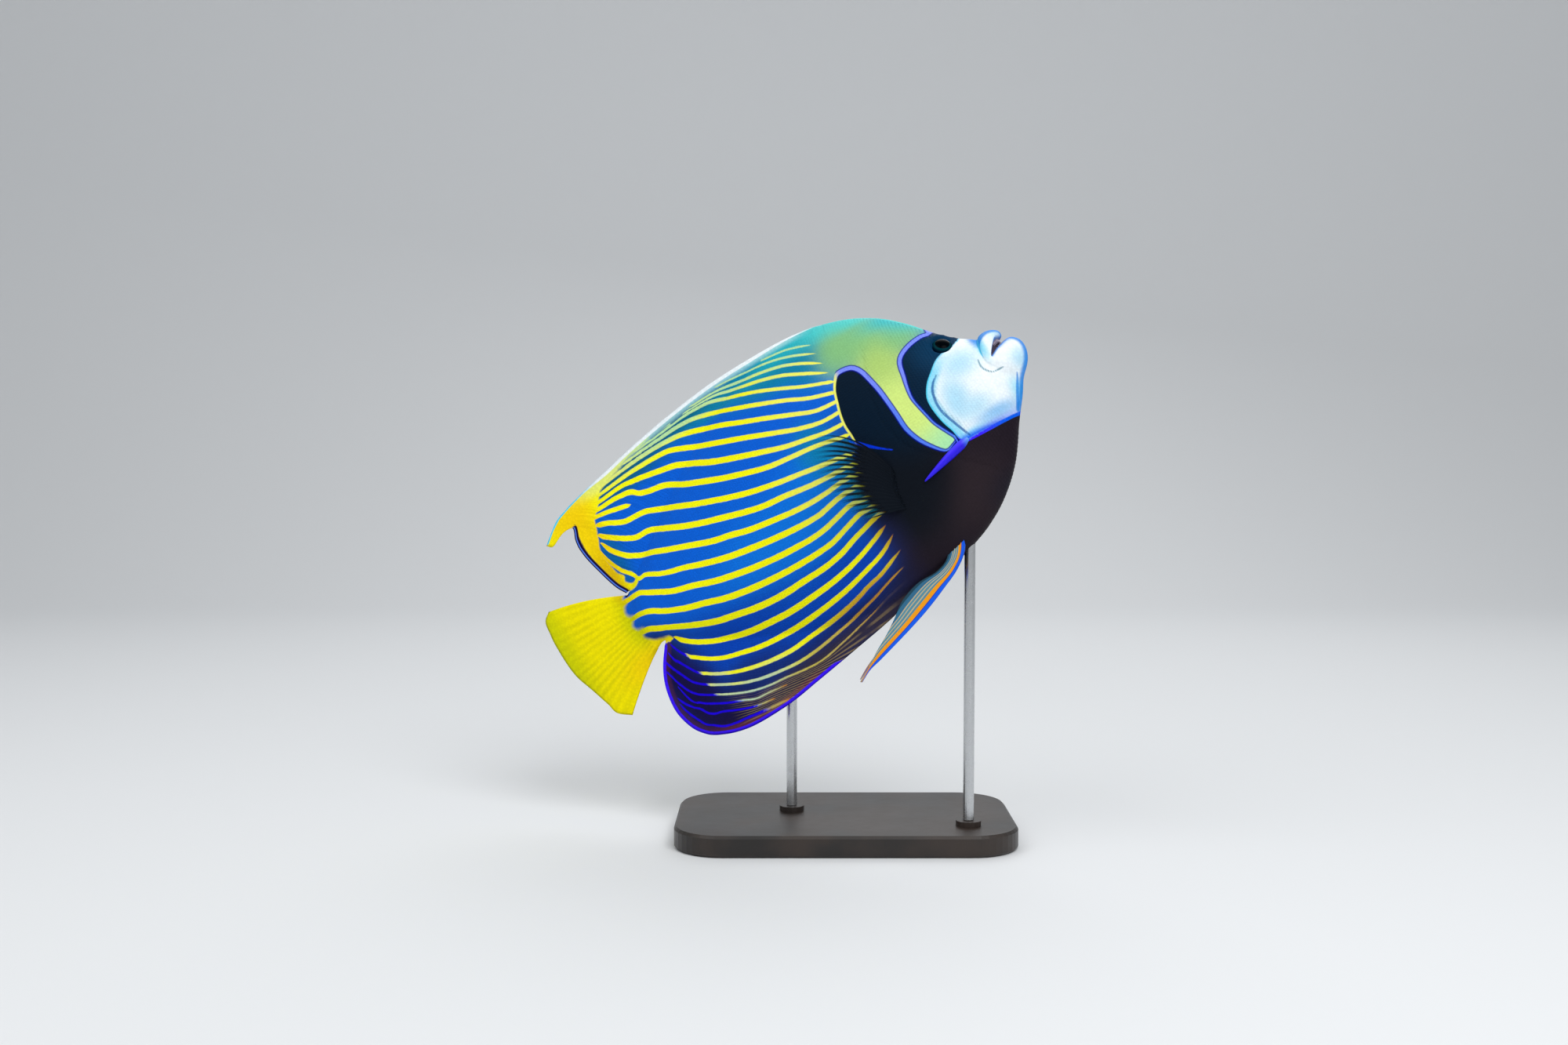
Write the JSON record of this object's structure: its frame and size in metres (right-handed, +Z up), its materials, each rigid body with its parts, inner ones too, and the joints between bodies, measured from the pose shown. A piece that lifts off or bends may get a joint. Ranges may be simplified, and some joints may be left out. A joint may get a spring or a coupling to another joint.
{
  "type": "emperor angelfish display model",
  "caption": "Life-size still model of a striped marine angelfish, nose up and banked, held over a flat base by two steel rods.",
  "frame": {"origin": "underside of the stand's base, below the fish's middle, at floor level", "axes": "+Z up; +X towards the fish's head end; the fish's right side faces -Y"},
  "size_m": [0.2741, 0.1151, 0.2925],
  "materials": {
    "head_skin": "satin, finely scaled, dark mask, white face, yellow-green nape",
    "spine_enamel": "smooth gloss, bright blue-violet",
    "lip_skin": "smooth satin, bluish white",
    "eye_glaze": "wet gloss, near black with a thin teal ring",
    "flank_skin": "satin, finely scaled, blue with yellow stripes",
    "dorsal_membrane": "satin, striped, with a pale edge and a yellow rear",
    "anal_membrane": "satin, navy with thin violet-blue lines",
    "tail_membrane": "satin, rayed, plain yellow",
    "clear_membrane": "thin and translucent with darker rays",
    "pelvic_membrane": "satin, streaked orange and grey, blue front edge",
    "stand_wood": "ebonised, satin lacquer",
    "stand_steel": "brushed along the rod"
  },
  "bodies": {
    "root": {"head": "head_skin", "gill_cover_right": "head_skin", "gill_cover_left": "head_skin", "cheek_spine_right": "spine_enamel", "cheek_spine_left": "spine_enamel", "upper_lip": "lip_skin", "lower_lip": "lip_skin", "eye_right": "eye_glaze", "eye_left": "eye_glaze", "torso": "flank_skin", "tail_stem": "flank_skin", "dorsal_fin": "dorsal_membrane", "anal_fin": "anal_membrane", "caudal_fin": "tail_membrane", "pectoral_fin_right": "clear_membrane", "pectoral_fin_left": "clear_membrane", "pelvic_fin_right": "pelvic_membrane", "pelvic_fin_left": "pelvic_membrane", "stand_base": "stand_wood", "stand_rod_front": "stand_steel", "stand_rod_rear": "stand_steel"}
  },
  "joints": []
}
